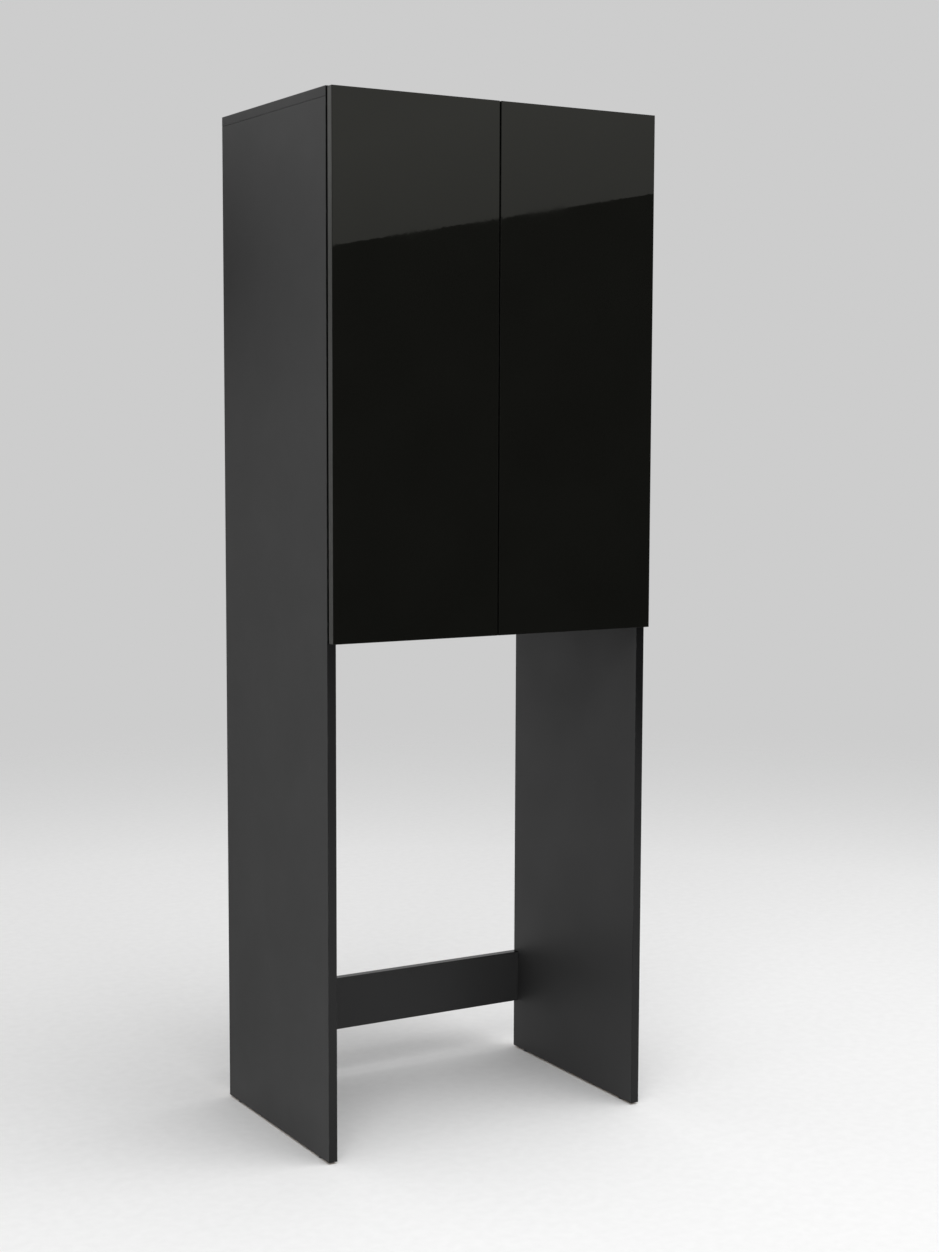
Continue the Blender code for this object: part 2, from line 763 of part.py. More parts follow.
def make_plunger(side, sign, plastic):
    """Sprung plunger that touches the strike plate on the door."""
    tip_back = latch_setback - seat_gap
    tip_front = tip_back - plunger_tip_length
    profile = (
        (0, 0), (plunger_tip_radius - plunger_edge, 0), (plunger_tip_radius, plunger_edge),
        (plunger_tip_radius, plunger_tip_length), (plunger_radius, plunger_tip_length),
        (plunger_radius, plunger_length), (0, plunger_length))
    mesh = bmesh.new()
    add_turned(mesh, profile, cam_sides)
    bmesh.ops.rotate(mesh, verts=mesh.verts, matrix=Matrix.Rotation(-math.pi / 2, 3, "X"))
    spot = (sign * latch_offset, world_y(tip_front), latch_axis_z)
    smooth(place(f"latch_plunger_{side}", finish_mesh(mesh, "plunger"), plastic, spot))


def make_strike(side, sign, axis, steel):
    """Steel disc on the back of the door, opposite the plunger."""
    profile = (
        (strike_hole_radius, 0), (strike_radius, 0), (strike_radius, strike_thickness - strike_edge),
        (strike_radius - strike_edge, strike_thickness), (strike_sink_radius, strike_thickness),
        (strike_hole_radius, strike_edge))
    mesh = bmesh.new()
    add_turned(mesh, profile, cam_sides)
    bmesh.ops.rotate(mesh, verts=mesh.verts, matrix=Matrix.Rotation(-math.pi / 2, 3, "X"))
    spot = (sign * latch_offset, door_back_face + seat_gap, latch_axis_z)
    smooth(place(f"strike_plate_{side}", finish_mesh(mesh, "strike"), steel, spot, axis))


def make_wall_brackets(steel):
    """Bent angles under the top panel, screwed back through the thin back panel."""
    top, back = top_underside - seat_gap, back_panel_front - seat_gap
    inner = bracket_bend - bracket_sheet
    outline = [(back - bracket_leg, top)]
    outline += arc((back - bracket_bend, top - bracket_bend), bracket_bend, 90, 0, arc_steps)
    outline += [(back, top - bracket_leg), (back - bracket_sheet, top - bracket_leg)]
    outline += arc((back - bracket_bend, top - bracket_bend), inner, 0, 90, arc_steps)
    outline += [(back - bracket_leg, top - bracket_sheet)]
    shape = [(0, a, b) for a, b in outline]
    for side, sign in sides.items():
        low_x = sign * bracket_offset - bracket_width / 2
        mesh = bmesh.new()
        add_prism(mesh, shape, (low_x, 0, 0), (low_x + bracket_width, 0, 0))
        name = f"wall_bracket_{side}"
        item = place(name, finish_mesh(mesh, name), steel)
        web = bmesh.new()
        corner_y, corner_z = back - bracket_sheet / 2, top - bracket_sheet / 2
        reach = bracket_web_reach
        web_shape = [(0, corner_y, corner_z), (0, corner_y - reach, corner_z),
                     (0, corner_y, corner_z - reach)]
        middle_x = sign * bracket_offset
        add_prism(web, web_shape, (middle_x - bracket_web_half_width, 0, 0),
                  (middle_x + bracket_web_half_width, 0, 0))
        boolean(item, web, "UNION")
        tool = bmesh.new()
        spot = Vector((sign * bracket_offset, back - bracket_leg + bracket_hole_from_end, top))
        down = Vector((0, 0, bracket_sheet + cut_overrun))
        add_cylinder(tool, spot - down, spot + down, bracket_hole_radius, pin_sides)
        spot = Vector((sign * bracket_offset, back, top - bracket_leg + bracket_hole_from_end))
        along = Vector((0, bracket_sheet + cut_overrun, 0))
        add_cylinder(tool, spot - along, spot + along, bracket_hole_radius, pin_sides)
        boolean(item, tool)


def build():
    """Model every piece."""
    clear_scene()
    laminate = make_material("dark_laminate", (0.045, 0.045, 0.046), 0.55, 0.0)
    gloss = make_material("gloss_front", (0.008, 0.008, 0.008), 0.08, 0.0)
    thin_board = make_material("thin_board", (0.040, 0.040, 0.041), 0.70, 0.0)
    steel = make_material("nickel_steel", (0.62, 0.61, 0.59), 0.28, 1.0)
    zinc = make_material("cast_zinc", (0.48, 0.48, 0.48), 0.42, 1.0)
    grey_plastic = make_material("grey_plastic", (0.16, 0.16, 0.165), 0.50, 0.0)
    black_plastic = make_material("black_plastic", (0.02, 0.02, 0.02), 0.45, 0.0)
    make_side_panels(laminate)
    make_top_panel(laminate)
    make_cupboard_floor(laminate)
    make_rear_stretcher(laminate)
    make_back_panel(thin_board)
    make_shelves(laminate)
    make_shelf_pins(steel)
    make_glides(black_plastic)
    make_cams(zinc)
    for side, sign in sides.items():
        axis = make_door_axis(side, sign)
        make_door(side, sign, axis, gloss)
        make_hinges(side, sign, axis, steel)
        make_latch(side, sign, grey_plastic)
        make_plunger(side, sign, black_plastic)
        make_strike(side, sign, axis, steel)
    make_wall_brackets(steel)


build()
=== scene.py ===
import math

import bmesh
import bpy
from mathutils import Matrix, Vector


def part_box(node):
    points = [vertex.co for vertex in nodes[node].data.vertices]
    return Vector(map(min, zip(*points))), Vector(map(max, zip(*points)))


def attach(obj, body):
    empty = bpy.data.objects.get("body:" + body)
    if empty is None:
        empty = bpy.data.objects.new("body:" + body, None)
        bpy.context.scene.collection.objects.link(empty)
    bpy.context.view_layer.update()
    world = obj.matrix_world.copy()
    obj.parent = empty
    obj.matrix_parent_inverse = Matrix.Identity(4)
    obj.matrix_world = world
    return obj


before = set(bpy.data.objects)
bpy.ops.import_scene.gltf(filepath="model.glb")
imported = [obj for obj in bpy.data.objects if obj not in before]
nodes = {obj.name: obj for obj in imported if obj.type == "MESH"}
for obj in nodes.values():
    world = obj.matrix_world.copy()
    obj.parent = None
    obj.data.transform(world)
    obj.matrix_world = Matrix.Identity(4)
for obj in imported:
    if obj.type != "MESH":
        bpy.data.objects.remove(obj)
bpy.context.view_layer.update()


# Boards
# Sides, top, cupboard floor, shelves and low rail are 16 mm particle board, pressed between two
# dark melamine skins. Edges in sight carry a glued band, black in front and grey on the ends of
# the top board. A sawn edge, a groove or a drilled hole shows the chips.
skin_dark = (0.0310, 0.0310, 0.0312)
skin_light = (0.0355, 0.0355, 0.0357)
skin_scuff = (0.075, 0.075, 0.074)
skin_thickness = 0.00028
skin_smooth, skin_rough = 0.50, 0.60
band_dark = (0.0030, 0.0030, 0.0031)
band_light = (0.0045, 0.0045, 0.0046)
band_thickness = 0.0010
band_rough = 0.20
seam_dark = (0.006, 0.006, 0.006)
seam_width = 0.00012
scuff_width = 0.0008
scuff_length = 0.018
scuff_share = 0.35
pearl_size = 0.0007
pearl_share = 0.30
cloud_size = 0.140
chip_dark = (0.225, 0.150, 0.090)
chip_middle = (0.345, 0.250, 0.158)
chip_light = (0.480, 0.370, 0.245)
chip_pore = (0.110, 0.070, 0.040)
chip_rough = 0.88
chip_size = 0.0017
chip_edge = 0.12
along_board, across_board, through_board = 0.35, 0.7, 1.4
dust_size = 0.0008
dust_layer = 0.0028
dust_in_core, dust_in_layer = 0.30, 0.85
pore_share = 0.75
board_glint = 0.30
board_relief = 0.00015
axis_of = {"left": (0, -1), "right": (0, 1), "front": (1, -1), "back": (1, 1),
           "under": (2, -1), "over": (2, 1)}


class Finish:
    """A material worked out in a piece's own coordinates, so that it moves with the piece."""

    def __init__(self, name):
        self.material = bpy.data.materials.new(name)
        self.material.use_nodes = True
        self.tree = self.material.node_tree
        self.tree.nodes.clear()
        self.shader = self.add("BsdfPrincipled")
        self.output = self.add("OutputMaterial")
        self.feed(self.output.inputs["Surface"], self.shader.outputs["BSDF"])
        self.place = self.add("TexCoord").outputs["Object"]

    def add(self, kind, **settings):
        """A node of this kind with its plain settings."""
        made = self.tree.nodes.new("ShaderNode" + kind)
        for name, value in settings.items():
            setattr(made, name, value)
        return made

    def feed(self, socket, value):
        """Fill a socket with a link, a number or a colour."""
        if isinstance(value, bpy.types.NodeSocket):
            self.tree.links.new(value, socket)
        elif isinstance(value, tuple) and socket.type == "RGBA":
            socket.default_value = (*value, 1)
        else:
            socket.default_value = value

    def reckon(self, operation, first, second=0.0):
        """One step of arithmetic on two numbers."""
        made = self.add("Math", operation=operation)
        self.feed(made.inputs[0], first)
        self.feed(made.inputs[1], second)
        return made.outputs[0]

    def drawn(self, ways):
        """The piece's coordinates, drawn out along a way below 1."""
        made = self.add("Mapping")
        self.feed(made.inputs["Vector"], self.place)
        self.feed(made.inputs["Scale"], ways)
        return made.outputs[0]

    def speckle(self, size, detail=2.0, ways=(1.0, 1.0, 1.0)):
        """Soft mottling with patches of about this size."""
        made = self.add("TexNoise")
        self.feed(made.inputs["Vector"], self.drawn(ways))
        self.feed(made.inputs["Scale"], 1 / size)
        self.feed(made.inputs["Detail"], detail)
        return made.outputs[0]

    def flakes(self, size, ways):
        """Broken chips: a random number for each, and how far inside its edge a point lies."""
        place = self.drawn(ways)
        swirl = self.add("TexNoise")
        self.feed(swirl.inputs["Vector"], place)
        self.feed(swirl.inputs["Scale"], 1 / size)
        bent = self.add("VectorMath", operation="MULTIPLY_ADD")
        for socket, value in zip(bent.inputs, (swirl.outputs["Color"], (size,) * 3, place)):
            self.feed(socket, value)
        chips, edges = self.add("TexVoronoi"), self.add("TexVoronoi", feature="DISTANCE_TO_EDGE")
        for made in (chips, edges):
            self.feed(made.inputs["Vector"], bent.outputs[0])
            self.feed(made.inputs["Scale"], 1 / size)
        parted = self.add("SeparateColor")
        self.feed(parted.inputs[0], chips.outputs["Color"])
        return parted.outputs[0], edges.outputs["Distance"]

    def spread(self, value, start, end, low, high):
        """Carry start..end over to low..high, held at both ends."""
        made = self.add("MapRange")
        for socket, number in zip(made.inputs, (value, start, end, low, high)):
            self.feed(socket, number)
        return made.outputs[0]

    def tones(self, value, *stops):
        """Colours along a value, from (position, colour) stops."""
        made = self.add("ValToRGB")
        self.feed(made.inputs[0], value)
        elements = made.color_ramp.elements
        while len(elements) < len(stops):
            elements.new(0.5)
        for element, (position, colour) in zip(elements, stops):
            element.position = position
            element.color = (*colour, 1)
        return made.outputs[0]

    def blend(self, share, first, second):
        """Mix two colours or two numbers; share 0 is all the first."""
        coloured = any(isinstance(item, tuple) or getattr(item, "type", "") == "RGBA"
                       for item in (first, second))
        made = self.add("Mix", data_type="RGBA" if coloured else "FLOAT")
        self.feed(made.inputs[0], share)
        self.feed(made.inputs[6 if coloured else 2], first)
        self.feed(made.inputs[7 if coloured else 3], second)
        return made.outputs[2 if coloured else 0]

    def relief(self, height, depth, strength):
        """Raise the surface by this depth where the height is 1."""
        made = self.add("Bump")
        self.feed(made.inputs["Height"], height)
        self.feed(made.inputs["Distance"], depth)
        self.feed(made.inputs["Strength"], strength)
        self.feed(self.shader.inputs["Normal"], made.outputs[0])

    def set(self, **values):
        """Fill the shader's own sockets, with their names' spaces written as underscores."""
        for name, value in values.items():
            self.feed(self.shader.inputs[name.replace("_", " ")], value)

    def let_through(self, share):
        """Make the surface see-through by this share."""
        mixed = self.add("MixShader")
        self.feed(mixed.inputs[0], share)
        self.feed(mixed.inputs[1], self.shader.outputs[0])
        self.feed(mixed.inputs[2], self.add("BsdfTransparent").outputs[0])
        self.feed(self.output.inputs["Surface"], mixed.outputs[0])


class BoardFinish(Finish):
    """Finish of one board, measured inward from the faces of its own box."""

    def __init__(self, board):
        super().__init__(board + "_finish")
        low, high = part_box(board)
        size = [top - bottom for bottom, top in zip(low, high)]
        self.broad, self.long = size.index(min(size)), size.index(max(size))
        parted = self.add("SeparateXYZ")
        self.feed(parted.inputs[0], self.place)
        self.below = [self.reckon("SUBTRACT", parted.outputs[i], low[i]) for i in range(3)]
        self.above = [self.reckon("SUBTRACT", high[i], parted.outputs[i]) for i in range(3)]
        self.nearest = [self.reckon("MINIMUM", *pair) for pair in zip(self.below, self.above)]

    def depth_from(self, edge):
        """Distance inward from a named edge."""
        axis, way = axis_of[edge]
        return self.below[axis] if way < 0 else self.above[axis]

    def within(self, depth, limit):
        """1 where the depth is less than the limit."""
        return self.reckon("LESS_THAN", depth, limit)

    def line_at(self, depth, middle):
        """1 on a hairline at this depth."""
        off = self.reckon("ABSOLUTE", self.reckon("SUBTRACT", depth, middle))
        return self.within(off, seam_width / 2)

    def in_bands(self, edges):
        """1 inside the band on any of these edges, and 1 on its glue line."""
        band, line = 0.0, 0.0
        for edge in edges:
            depth = self.depth_from(edge)
            band = self.reckon("MAXIMUM", self.within(depth, band_thickness), band)
            line = self.reckon("MAXIMUM", self.line_at(depth, band_thickness), line)
        return band, line

    def on_arris(self, width):
        """1 along the arrises, where two faces meet, this far in from each."""
        met = 0.0
        for depth in self.nearest:
            met = self.reckon("ADD", self.within(depth, width), met)
        return self.reckon("GREATER_THAN", met, 1.5)

    def rubbed(self):
        """Up to 1 in patches, as hands and cloths wear an arris."""
        return self.spread(self.speckle(scuff_length, 4.0), 0.50, 0.72, 0.0, 1.0)


def dress(material, *names):
    """Give a finish to solids of the cabinet."""
    for name in names:
        nodes[name].data.materials.clear()
        nodes[name].data.materials.append(material)


def melamine(board, *bands, ends=()):
    """Dress a board: skins, black bands on edges, grey bands on ends, chips where it is cut."""
    finish = BoardFinish(board)
    pearl = finish.speckle(pearl_size, 1.0)
    cloud = finish.speckle(cloud_size, 3.0)
    ways = [across_board] * 3
    ways[finish.long], ways[finish.broad] = along_board, through_board
    chip, edge = finish.flakes(chip_size, tuple(ways))
    layer = finish.within(finish.nearest[finish.broad], dust_layer)
    dust_share = finish.blend(layer, dust_in_core, dust_in_layer)
    chip = finish.blend(dust_share, chip, finish.speckle(dust_size, 3.0))
    crown = finish.spread(edge, 0.0, chip_edge, 0.0, 1.0)
    pore = finish.reckon("MULTIPLY", finish.reckon("SUBTRACT", 1.0, crown),
                         finish.reckon("SUBTRACT", pore_share, layer))
    skin = finish.within(finish.nearest[finish.broad], skin_thickness)
    band, line = finish.in_bands(bands)
    grey_band, grey_line = finish.in_bands(ends)
    line = finish.reckon("MAXIMUM", line, grey_line)
    covered = finish.reckon("MAXIMUM", finish.reckon("MAXIMUM", skin, band), grey_band)
    shade = finish.blend(0.5, pearl, cloud)
    skin_colour = finish.tones(shade, (0.38, skin_dark), (0.62, skin_light))
    band_colour = finish.tones(cloud, (0.35, band_dark), (0.65, band_light))
    chip_colour = finish.tones(chip, (0.15, chip_dark), (0.5, chip_middle), (0.9, chip_light))
    chip_colour = finish.blend(pore, chip_colour, chip_pore)
    face = finish.blend(line, finish.blend(band, skin_colour, band_colour), seam_dark)
    worn = finish.reckon("MULTIPLY", finish.on_arris(scuff_width), finish.rubbed())
    face = finish.blend(finish.reckon("MULTIPLY", worn, scuff_share), face, skin_scuff)
    skin_sheen = finish.spread(cloud, 0.3, 0.7, skin_smooth, skin_rough)
    face_rough = finish.blend(band, skin_sheen, band_rough)
    finish.set(Base_Color=finish.blend(covered, chip_colour, face),
               Roughness=finish.blend(covered, chip_rough, face_rough),
               Specular_IOR_Level=board_glint)
    grain = finish.reckon("MULTIPLY", pearl, pearl_share)
    finish.relief(finish.blend(covered, crown, grain), board_relief, 0.5)
    dress(finish.material, board)


melamine("side_panel_left", "front", "over")
melamine("side_panel_right", "front", "over")
melamine("top_panel", "front", ends=("left", "right"))
melamine("cupboard_floor", "front")
melamine("shelf_lower", "front")
melamine("shelf_upper", "front")
melamine("rear_stretcher", "over", "under")


# Back panel
# Hardboard, 3 mm, slid into grooves behind the cupboard before the top goes on. Its inner side is
# printed dark; its outer side is bare brown fibre with the weave of the press screen.
fibre_dark = (0.140, 0.083, 0.046)
fibre_light = (0.195, 0.119, 0.067)
fibre_size = 0.006
fibre_share = 0.2
screen_pitch = 0.0016
screen_relief = 0.0003
bare_rough, printed_rough = 0.82, 0.55

hardboard = BoardFinish("back_panel")
fibre = hardboard.speckle(fibre_size, 5.0)
inside = hardboard.within(hardboard.depth_from("front"), skin_thickness)
wires = [hardboard.reckon("SINE", hardboard.reckon("MULTIPLY", hardboard.below[axis],
                                                   math.tau / screen_pitch))
         for axis in (0, 2)]
weave = hardboard.spread(hardboard.reckon("MULTIPLY", *wires), -1.0, 1.0, 0.0, 1.0)
brown = hardboard.tones(fibre, (0.30, fibre_dark), (0.70, fibre_light))
printed = hardboard.tones(fibre, (0.30, skin_dark), (0.70, skin_light))
hardboard.set(Base_Color=hardboard.blend(inside, brown, printed),
              Roughness=hardboard.blend(inside, bare_rough, printed_rough))
flat = hardboard.reckon("MULTIPLY", fibre, fibre_share)
hardboard.relief(hardboard.blend(inside, weave, flat), screen_relief, 0.6)
dress(hardboard.material, "back_panel")


# Doors
# Fibreboard slabs, 16 mm, with a high-gloss black film on the front and glossy bands round the
# edges, which end in a dull arris. The back has a matt sheet. Polishing leaves a ripple too
# slight to see straight on.
gloss_dark = (0.0058, 0.0059, 0.0050)
gloss_light = (0.0066, 0.0067, 0.0057)
gloss_cloud = 0.2
gloss_tint = (1.0, 1.0, 0.92)
wipe_size = 0.09
wipe_ways = (1.0, 1.0, 0.5)
wiped_clean, wiped_hazy = 0.012, 0.040
ripple_size = 0.012
ripple_depth = 0.00002
sheet_thickness = 0.0004
sheet_rough = 0.48
arris_width = 0.00065
arris_tint = (0.12, 0.12, 0.12)
arris_rough = 0.70

for door in ("door_left", "door_right"):
    gloss = BoardFinish(door)
    depth = gloss.depth_from("back")
    behind = gloss.within(depth, skin_thickness)
    black = gloss.tones(gloss.speckle(gloss_cloud), (0.35, gloss_dark), (0.65, gloss_light))
    backing = gloss.tones(gloss.speckle(pearl_size, 1.0), (0.35, skin_dark), (0.65, skin_light))
    colour = gloss.blend(behind, black, backing)
    wiped = gloss.speckle(wipe_size, 5.0, wipe_ways)
    shine = gloss.spread(wiped, 0.40, 0.75, wiped_clean, wiped_hazy)
    arris = gloss.on_arris(arris_width)
    face_rough = gloss.blend(behind, shine, sheet_rough)
    gloss.set(Base_Color=gloss.blend(gloss.line_at(depth, sheet_thickness), colour, seam_dark),
              Roughness=gloss.blend(arris, face_rough, arris_rough),
              Specular_Tint=gloss.blend(arris, gloss_tint, arris_tint))
    gloss.relief(gloss.speckle(ripple_size, 1.0), ripple_depth, 0.25)
    dress(gloss.material, door)


# Fittings
# Hinges, shelf pins, strike discs and brackets are nickel-plated steel. The cam locks are cast
# zinc. Latches and glides are moulded plastic.
def fitting_finish(name, dark, light, metallic, smooth, rough, grain, depth,
                   ways=(1.0, 1.0, 1.0)):
    """A fitting's finish: tone and shine that wander together, over a fine relief."""
    finish = Finish(name)
    mottle = finish.speckle(grain, 4.0, ways)
    finish.set(Base_Color=finish.tones(mottle, (0.30, dark), (0.70, light)),
               Roughness=finish.spread(mottle, 0.30, 0.70, smooth, rough), Metallic=metallic)
    finish.relief(mottle, depth, 0.3)
    return finish.material


nickel = fitting_finish("nickel_plate", dark=(0.60, 0.59, 0.57), light=(0.72, 0.71, 0.69),
                        metallic=1.0, smooth=0.30, rough=0.42, grain=0.0012, depth=0.000004,
                        ways=(1.0, 0.2, 1.0))
zinc = fitting_finish("cast_zinc", dark=(0.42, 0.42, 0.42), light=(0.54, 0.54, 0.53),
                      metallic=1.0, smooth=0.42, rough=0.55, grain=0.0008, depth=0.00002)
grey_plastic = fitting_finish("grey_plastic", dark=(0.235, 0.235, 0.240),
                              light=(0.265, 0.265, 0.270), metallic=0.0, smooth=0.42,
                              rough=0.55, grain=0.0006, depth=0.00003)
black_plastic = fitting_finish("black_plastic", dark=(0.017, 0.017, 0.017),
                               light=(0.023, 0.023, 0.023), metallic=0.0, smooth=0.38,
                               rough=0.50, grain=0.0006, depth=0.00003)
dress(nickel, *(name for name in nodes
                if name.startswith(("hinge_", "shelf_pin", "strike_", "wall_"))))
dress(zinc, *(name for name in nodes if name.startswith("cam_")))
dress(grey_plastic, "latch_housing_left", "latch_housing_right")
dress(black_plastic, *(name for name in nodes if name.startswith(("latch_plunger", "glide"))))


# Screws
# Cross-recess screws in steel: domed heads on the hinges and latches, countersunk ones in the
# strike discs. Each is turned from a profile and its recess is punched out.
turned_sides = 36
grub_sides = 28
sharp_angle = math.radians(35)
dome_step = 18
dome_steps = 6
dome_crown_share, dome_rim_share = 0.65, 0.1
dome_seat_share = 0.94
recess_floor_share = 0.45
recess_width_share = 0.26


def turned(profile, sides):
    """A closed body turned round Z from (radius, height) points, starting and ending on Z."""
    mesh = bmesh.new()
    points = [mesh.verts.new((radius, 0, height)) for radius, height in profile]
    edges = [mesh.edges.new(pair) for pair in zip(points, points[1:])]
    bmesh.ops.spin(mesh, geom=points + edges, cent=(0, 0, 0), axis=(0, 0, 1), angle=math.tau,
                   steps=sides, use_merge=True)
    bmesh.ops.remove_doubles(mesh, verts=mesh.verts, dist=1e-7)
    return mesh


def cast(name, mesh):
    """Mesh data from a worked mesh, its faces outward and its curves shaded smooth."""
    bmesh.ops.recalc_face_normals(mesh, faces=mesh.faces)
    data = bpy.data.meshes.new(name)
    mesh.to_mesh(data)
    mesh.free()
    data.shade_smooth()
    data.set_sharp_from_angle(angle=sharp_angle)
    return data


def put(name, data, material=None):
    """An object with this mesh data, which like pieces may share."""
    made = bpy.data.objects.new(name, data)
    bpy.context.collection.objects.link(made)
    if material and not data.materials:
        data.materials.append(material)
    return made


def fasten(piece, body):
    """Fix a new piece to a body of the cabinet."""
    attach(piece, body)


def punched(name, blank, punch):
    """Mesh data of one mesh with another cut out of it."""
    body, tool = put("blank", cast("blank", blank)), put("punch", cast("punch", punch))
    cut = body.modifiers.new("cut", "BOOLEAN")
    cut.object, cut.solver = tool, "EXACT"
    shape = body.evaluated_get(bpy.context.evaluated_depsgraph_get())
    data = bpy.data.meshes.new_from_object(shape)
    data.name = name
    data.set_sharp_from_angle(angle=sharp_angle)
    for solid in (body, tool):
        bpy.data.objects.remove(solid, do_unlink=True)
    return data


def cross_punch(reach, width, top, bottom):
    """Punch for a cross recess, narrowing downwards."""
    mesh = bmesh.new()
    rings = []
    for height, share in ((top, 1.0), (bottom, recess_floor_share)):
        arm, half = reach * share, width * share / 2
        quarter = [(arm, -half), (arm, half), (half, half)]
        outline = []
        for _ in range(4):
            outline += quarter
            quarter = [(-y, x) for x, y in quarter]
        rings.append([mesh.verts.new((x, y, height)) for x, y in outline])
    for near in range(len(outline)):
        far = (near + 1) % len(outline)
        mesh.faces.new((rings[0][near], rings[0][far], rings[1][far], rings[1][near]))
    mesh.faces.new(rings[0])
    mesh.faces.new(rings[1])
    return mesh


def domed_screw(name, head, rise, shank, length):
    """A domed head standing on its seat at height 0, with a stub of shank below."""
    angles = [math.radians(dome_step * step) for step in range(dome_steps)]
    dome = [(head * math.sin(angle),
             rise * (1 - dome_crown_share + dome_crown_share * math.cos(angle)))
            for angle in angles]
    dome += [(head, rise * dome_rim_share), (head * dome_seat_share, 0), (shank, 0),
             (shank, -length), (0, -length)]
    punch = cross_punch(head * 0.58, head * recess_width_share, rise * 1.2, -rise * 0.35)
    return punched(name, turned(dome, turned_sides), punch)


def sunk_screw(name, head, shank, length):
    """A countersunk screw, its face at height 0."""
    cone = head - shank
    profile = [(0, 0), (head * 0.96, 0), (head, -head * 0.05), (shank, -cone),
               (shank, -length), (0, -length)]
    punch = cross_punch(head * 0.6, head * recess_width_share, cone, -cone * 0.7)
    return punched(name, turned(profile, turned_sides), punch)


def grub_screw(name, radius, length):
    """A headless screw, its face at height 0."""
    profile = [(0, 0), (radius * 0.85, 0), (radius, -radius * 0.15), (radius, -length),
               (0, -length)]
    punch = cross_punch(radius * 0.7, radius * 0.34, radius, -radius * 0.35)
    return punched(name, turned(profile, grub_sides), punch)


def drive(name, screw, place, way, body, twist=0.0):
    """Drive a screw in at a place; its head faces the way given, its cross left at a twist."""
    made = put(name, screw, screw_steel)
    lie = Vector(way).to_track_quat("Z", "Y").to_matrix().to_4x4()
    spin = Matrix.Rotation(math.radians(twist), 4, "Z")
    made.matrix_world = Matrix.Translation(place) @ lie @ spin
    fasten(made, body)


def middle_of(name):
    """Lowest and highest corners of a solid, and the middle between them."""
    low, high = (Vector(corner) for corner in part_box(name))
    return low, high, (low + high) / 2


screw_steel = fitting_finish("screw_steel", dark=(0.44, 0.43, 0.41), light=(0.58, 0.57, 0.55),
                             metallic=1.0, smooth=0.24, rough=0.38, grain=0.0005, depth=0.00002)
wood_screw = domed_screw("wood_screw", head=0.0036, rise=0.0016, shank=0.0018, length=0.0020)
small_screw = domed_screw("small_screw", head=0.0029, rise=0.0013, shank=0.0014, length=0.0018)
clamp_screw = domed_screw("clamp_screw", head=0.0042, rise=0.0018, shank=0.0022, length=0.0013)
adjusting_screw = grub_screw("adjusting_screw", radius=0.0023, length=0.0013)
strike_screw = sunk_screw("strike_screw", head=0.0030, shank=0.0015, length=0.0024)
flange_screw_reach = 0.0225
wing_screw_reach = 0.016
plate_sheet = 0.002
arm_rib_height = 0.0006
clamp_from_end = 0.0125
adjuster_from_end = 0.0274
latch_screw_inset = 0.010
latch_screw_reach = 0.0105
latch_flange_sheet = 0.002
bracket_hole_inset = 0.011
bracket_sheet = 0.002
lower_twist, upper_twist = 20, 55
flange_twist, wing_twist, latch_twist = 25, 35, 73.5
strike_twist, bracket_twist = 30, 15

for side, sign in (("left", -1), ("right", 1)):
    inward, outward, downward = (-sign, 0, 0), (0, 1, 0), (0, 0, -1)
    for level, twist in (("lower", lower_twist), ("upper", upper_twist)):
        name = f"{side}_{level}"
        low, high, middle = middle_of(f"hinge_cup_{name}")
        for label, step in (("low", -1), ("high", 1)):
            spot = (middle.x, high.y, middle.z + step * flange_screw_reach)
            drive(f"cup_screw_{name}_{label}", wood_screw, spot, outward, f"door_{side}",
                  twist + flange_twist * step)
        low, high, middle = middle_of(f"hinge_plate_{name}")
        face = max(abs(low.x), abs(high.x)) - plate_sheet
        for label, step in (("low", -1), ("high", 1)):
            spot = (sign * face, middle.y, middle.z + step * wing_screw_reach)
            drive(f"plate_screw_{name}_{label}", wood_screw, spot, inward, "carcass",
                  twist - wing_twist * step)
        low, high, middle = middle_of(f"hinge_arm_{name}")
        face = sign * (min(abs(low.x), abs(high.x)) + arm_rib_height)
        drive(f"clamp_screw_{name}", clamp_screw, (face, high.y - clamp_from_end, middle.z),
              inward, "carcass", twist)
        drive(f"adjusting_screw_{name}", adjusting_screw,
              (face, high.y - adjuster_from_end, middle.z), inward, "carcass", -twist)
    low, high, middle = middle_of(f"latch_housing_{side}")
    for row, depth in (("front", low.y + latch_screw_inset), ("back", high.y - latch_screw_inset)):
        for label, step in (("inner", -1), ("outer", 1)):
            spot = (middle.x + sign * step * latch_screw_reach, depth,
                    high.z - latch_flange_sheet)
            drive(f"latch_screw_{side}_{row}_{label}", small_screw, spot, downward, "carcass",
                  latch_twist * step)
    low, high, middle = middle_of(f"strike_plate_{side}")
    drive(f"strike_screw_{side}", strike_screw, (middle.x, high.y, middle.z), outward,
          f"door_{side}", strike_twist * sign)
    low, high, middle = middle_of(f"wall_bracket_{side}")
    spot = (middle.x, low.y + bracket_hole_inset, high.z - bracket_sheet)
    drive(f"bracket_screw_{side}", wood_screw, spot, downward, "carcass", bracket_twist * sign)


# Latch magnets
# A sintered disc glued into the tip of each plunger. It holds the steel disc on the door, and so
# keeps the door shut between pushes.
magnet_radius = 0.0033
magnet_proud = 0.0001
magnet_depth = 0.0010
magnet_edge = 0.0003

